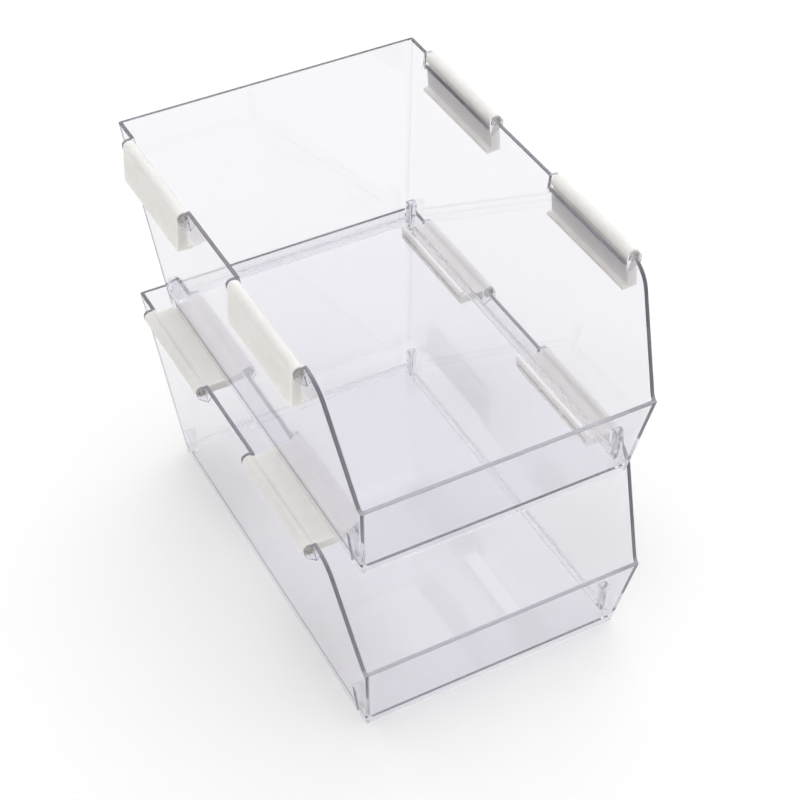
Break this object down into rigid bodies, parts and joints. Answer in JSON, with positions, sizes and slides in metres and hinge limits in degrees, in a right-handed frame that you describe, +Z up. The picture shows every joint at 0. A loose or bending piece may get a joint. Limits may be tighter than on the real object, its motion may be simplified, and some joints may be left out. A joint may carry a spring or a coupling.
{
  "type": "stacking fridge bin",
  "caption": "Stack of clear tapered open-front storage bins with hinged white side flaps that fold in to carry the bin above, or hang outside so the bins nest.",
  "frame": {"origin": "bottom centre of the stack, on the plane the lower bin stands on", "axes": "+Z up, -Y towards the low open front, +X to the right seen from the front"},
  "size_m": [0.215, 0.3, 0.2627],
  "materials": {
    "clear_plastic": "clear, polished, faintly lavender grey in its thickness and dark at its edges",
    "white_plastic": "opaque warm white, satin"
  },
  "bodies": {
    "lower_bin": {"lower_bin_shell": "clear_plastic"},
    "lower_left_front": {"lower_flap_left_front": "white_plastic"},
    "lower_left_back": {"lower_flap_left_back": "white_plastic"},
    "lower_right_front": {"lower_flap_right_front": "white_plastic"},
    "lower_right_back": {"lower_flap_right_back": "white_plastic"},
    "upper_bin": {"upper_bin_shell": "clear_plastic"},
    "upper_left_front": {"upper_flap_left_front": "white_plastic"},
    "upper_left_back": {"upper_flap_left_back": "white_plastic"},
    "upper_right_front": {"upper_flap_right_front": "white_plastic"},
    "upper_right_back": {"upper_flap_right_back": "white_plastic"}
  },
  "joints": [
    {"name": "upper_bin_lift", "type": "slide", "parent": "lower_bin", "child": "upper_bin", "axis": [0, 0, 1], "range_m": [0, 0.24]},
    {"name": "lower_left_front_hinge", "type": "hinge", "parent": "lower_bin", "child": "lower_left_front", "pos_m": [-0.1019, -0.062, 0.128], "axis": [0, -1, 0], "range_deg": [0, 266]},
    {"name": "lower_left_back_hinge", "type": "hinge", "parent": "lower_bin", "child": "lower_left_back", "pos_m": [-0.1019, 0.088, 0.128], "axis": [0, -1, 0], "range_deg": [0, 266]},
    {"name": "lower_right_front_hinge", "type": "hinge", "parent": "lower_bin", "child": "lower_right_front", "pos_m": [0.1019, -0.062, 0.128], "axis": [0, 1, 0], "range_deg": [0, 266]},
    {"name": "lower_right_back_hinge", "type": "hinge", "parent": "lower_bin", "child": "lower_right_back", "pos_m": [0.1019, 0.088, 0.128], "axis": [0, 1, 0], "range_deg": [0, 266]},
    {"name": "upper_left_front_hinge", "type": "hinge", "parent": "upper_bin", "child": "upper_left_front", "pos_m": [-0.1019, -0.062, 0.2587], "axis": [0, 1, 0], "range_deg": [0, 266]},
    {"name": "upper_left_back_hinge", "type": "hinge", "parent": "upper_bin", "child": "upper_left_back", "pos_m": [-0.1019, 0.088, 0.2587], "axis": [0, 1, 0], "range_deg": [0, 266]},
    {"name": "upper_right_front_hinge", "type": "hinge", "parent": "upper_bin", "child": "upper_right_front", "pos_m": [0.1019, -0.062, 0.2587], "axis": [0, -1, 0], "range_deg": [0, 266]},
    {"name": "upper_right_back_hinge", "type": "hinge", "parent": "upper_bin", "child": "upper_right_back", "pos_m": [0.1019, 0.088, 0.2587], "axis": [0, -1, 0], "range_deg": [0, 266]}
  ],
  "couplings": [
    {"joint": "lower_left_front_hinge", "follows": "upper_bin_lift", "rad_per_m": 19.34},
    {"joint": "lower_left_back_hinge", "follows": "upper_bin_lift", "rad_per_m": 19.34},
    {"joint": "lower_right_front_hinge", "follows": "upper_bin_lift", "rad_per_m": 19.34},
    {"joint": "lower_right_back_hinge", "follows": "upper_bin_lift", "rad_per_m": 19.34}
  ]
}
